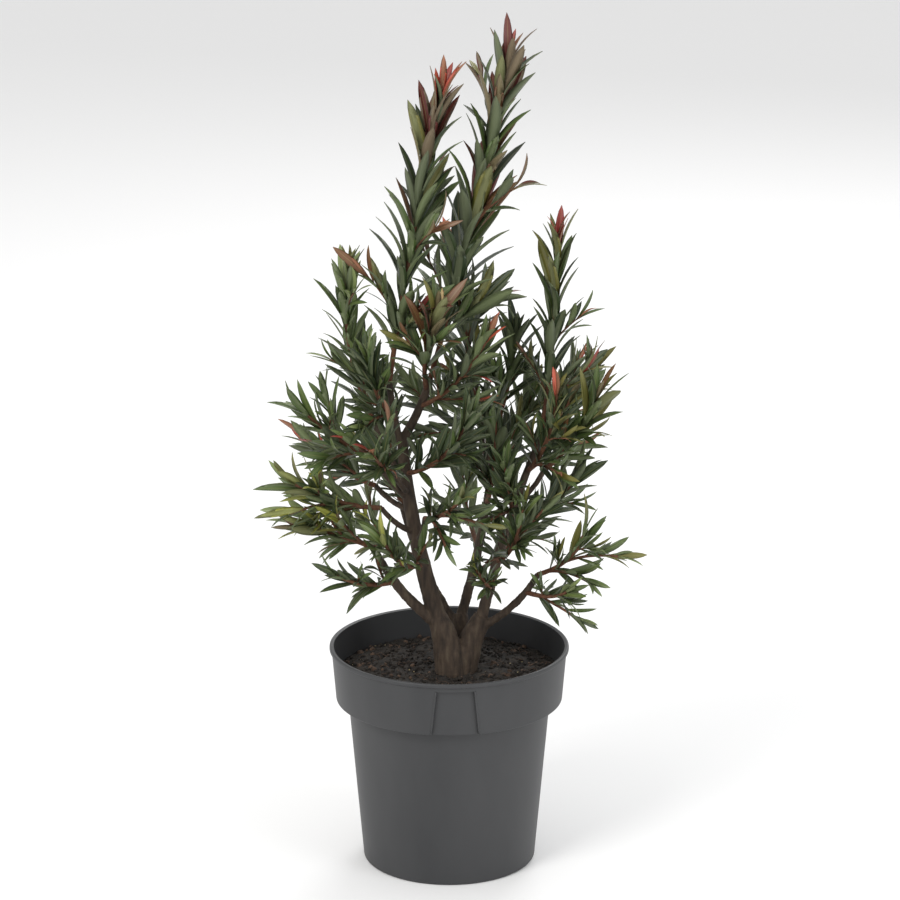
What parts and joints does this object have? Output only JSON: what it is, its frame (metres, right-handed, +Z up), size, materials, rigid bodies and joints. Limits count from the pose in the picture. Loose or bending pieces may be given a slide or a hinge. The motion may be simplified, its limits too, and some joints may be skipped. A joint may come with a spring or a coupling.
{
  "type": "potted bottlebrush shrub",
  "caption": "Young evergreen bottlebrush shrub with upright leafy shoots and red new growth, in a round dark plastic nursery pot.",
  "frame": {"origin": "middle of the pot's flat underside", "axes": "+Z up along the pot's axis, -Y towards the shrub's front, +X to the right seen from the front"},
  "size_m": [0.2991, 0.2417, 0.6572],
  "materials": {
    "pot": "matt dark anthracite moulded plastic",
    "soil": "rough dark potting mix of peat and bark",
    "wood": "rough dark brown bark",
    "leaves": "leathery satin green leaves with red young tips"
  },
  "bodies": {
    "root": {"pot": "pot", "soil": "soil", "trunk": "wood", "stem_main": "wood", "stem_left": "wood", "stem_right": "wood", "stem_rear_right": "wood", "stem_rear_left": "wood", "stem_low_right": "wood", "bough_tall_right": "wood", "bough_tall_left": "wood", "bough_left_high": "wood", "bough_left_middle": "wood", "bough_left_rear": "wood", "bough_left_low": "wood", "bough_front": "wood", "bough_front_low": "wood", "bough_right": "wood", "bough_rear_high": "wood", "bough_rear_right": "wood", "mass_tall_right": "leaves", "mass_tall_left": "leaves", "mass_right_high": "leaves", "mass_left_high": "leaves", "mass_right_spray": "leaves", "mass_left_middle": "leaves", "mass_left_low": "leaves", "mass_left_foot": "leaves", "mass_left_rear": "leaves", "mass_front_rosette": "leaves", "mass_front_low": "leaves", "mass_right_red": "leaves", "mass_middle_red": "leaves", "mass_middle_bronze": "leaves", "mass_middle_rear": "leaves", "mass_middle_left": "leaves", "mass_middle_dark": "leaves", "mass_middle_right": "leaves", "mass_centre_middle": "leaves", "mass_right_inner": "leaves", "mass_centre_rear": "leaves", "mass_right_olive": "leaves", "mass_right_middle": "leaves", "mass_right_low": "leaves", "mass_right_foot": "leaves", "mass_front_right": "leaves", "mass_front_left": "leaves", "mass_front_foot": "leaves", "mass_centre_foot": "leaves", "mass_rear_left_high": "leaves", "mass_rear_left_low": "leaves", "mass_rear_high": "leaves", "mass_rear_middle": "leaves", "mass_rear_low": "leaves", "mass_rear_right": "leaves", "mass_rear_right_low": "leaves", "mass_core_left": "leaves"}
  },
  "joints": []
}
